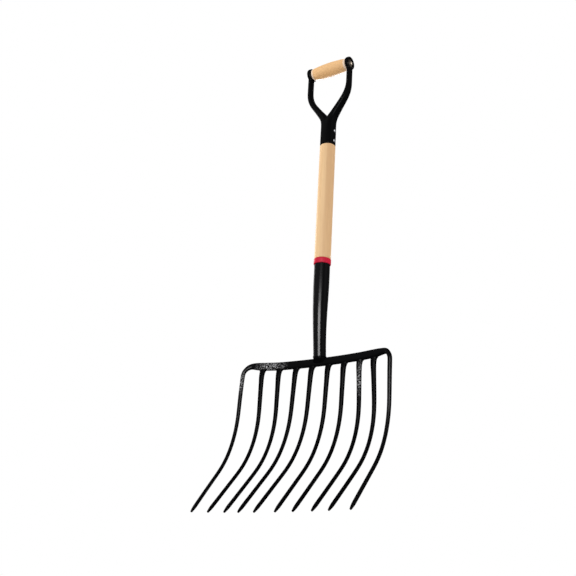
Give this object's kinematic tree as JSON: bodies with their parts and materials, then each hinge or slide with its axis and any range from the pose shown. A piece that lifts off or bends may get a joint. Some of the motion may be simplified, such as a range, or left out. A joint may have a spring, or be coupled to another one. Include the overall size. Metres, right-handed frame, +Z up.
{
  "type": "ensilage fork",
  "caption": "Wide steel ensilage fork with curved pointed tines on a bowed head bar, a tapered steel ferrule, a straight wood shaft and a D grip.",
  "frame": {"origin": "middle of the fork's bounding box in X and Y, level with the lowest tine tip", "axes": "+Z up the shaft from the tines to the grip, X along the head bar and the cross grip, -Y towards the tine tips, the side that the tines curve to"},
  "size_m": [0.4328, 0.2128, 1.2074],
  "materials": {
    "black_paint": "glossy black enamel",
    "ash_wood": "clear-lacquered pale ash",
    "grip_wood": "clear-lacquered hardwood",
    "red_plastic": "moulded red plastic",
    "bare_steel": "plain steel rivets and washers"
  },
  "bodies": {
    "root": {"head_bar": "black_paint", "tine_02": "black_paint", "tine_03": "black_paint", "tine_04": "black_paint", "tine_05": "black_paint", "tine_06": "black_paint", "tine_07": "black_paint", "tine_08": "black_paint", "tine_09": "black_paint", "ferrule": "black_paint", "ferrule_weld": "black_paint", "ferrule_rivet": "black_paint", "shaft": "ash_wood", "collar_ring": "red_plastic", "grip_yoke": "black_paint", "yoke_rivet_lower": "bare_steel", "yoke_rivet_upper": "bare_steel", "cross_grip": "grip_wood", "grip_washer_left": "bare_steel", "grip_washer_right": "bare_steel", "grip_rivet": "bare_steel"}
  },
  "joints": []
}
